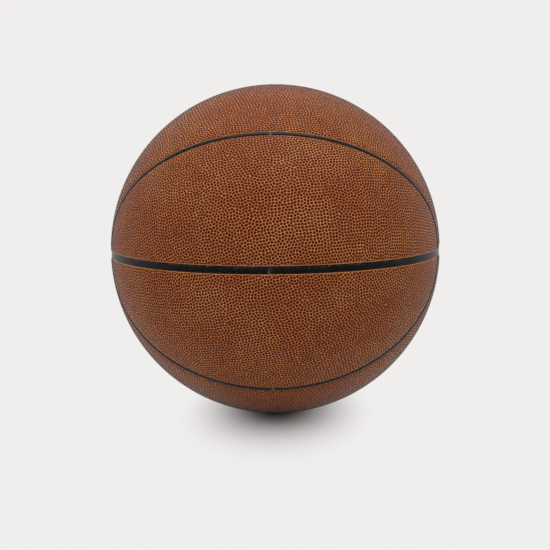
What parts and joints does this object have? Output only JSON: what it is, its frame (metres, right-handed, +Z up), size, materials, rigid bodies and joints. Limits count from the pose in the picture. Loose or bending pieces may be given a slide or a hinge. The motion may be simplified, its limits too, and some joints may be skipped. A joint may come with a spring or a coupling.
{
  "type": "basketball",
  "caption": "Inflated round court ball: pebbled leather panels between black rubber seam strips, over a carcass, thread winding and air bladder, with a pull-out needle valve plug.",
  "frame": {"origin": "centre of the ball", "axes": "+Z up through the top of the upright seam; the wide seam is level at Z = 0; -Y is the front, towards the middle of the front loop seam; the valve faces +Y and up"},
  "size_m": [0.24, 0.2398, 0.24],
  "materials": {
    "cover_leather": "satin",
    "backing_foam": "matte",
    "seam_rubber": "satin",
    "carcass_rubber": "matte",
    "winding_thread": "satin",
    "bladder_rubber": "satin",
    "valve_rubber": "satin",
    "plug_rubber": "satin",
    "patch_rubber": "matte",
    "weight_rubber": "matte"
  },
  "bodies": {
    "ball": {"front_upper_panel": "cover_leather", "front_lower_panel": "cover_leather", "back_upper_panel": "cover_leather", "back_lower_panel": "cover_leather", "front_crown_panel": "cover_leather", "front_base_panel": "cover_leather", "back_crown_panel": "cover_leather", "back_base_panel": "cover_leather", "front_upper_backing": "backing_foam", "front_lower_backing": "backing_foam", "back_upper_backing": "backing_foam", "back_lower_backing": "backing_foam", "front_crown_backing": "backing_foam", "front_base_backing": "backing_foam", "back_crown_backing": "backing_foam", "back_base_backing": "backing_foam", "band_strip": "seam_rubber", "upright_upper_strip": "seam_rubber", "upright_lower_strip": "seam_rubber", "front_loop_upper_strip": "seam_rubber", "front_loop_lower_strip": "seam_rubber", "back_loop_upper_strip": "seam_rubber", "back_loop_lower_strip": "seam_rubber", "carcass": "carcass_rubber", "thread_winding": "winding_thread", "bladder": "bladder_rubber", "valve_housing": "valve_rubber", "valve_patch": "patch_rubber", "balance_weight": "weight_rubber"},
    "plug": {"valve_plug": "plug_rubber"}
  },
  "joints": [
    {"name": "plug_pull", "type": "slide", "parent": "ball", "child": "plug", "axis": [0, 0.9205, 0.3907], "range_m": [0, 0.024]}
  ]
}
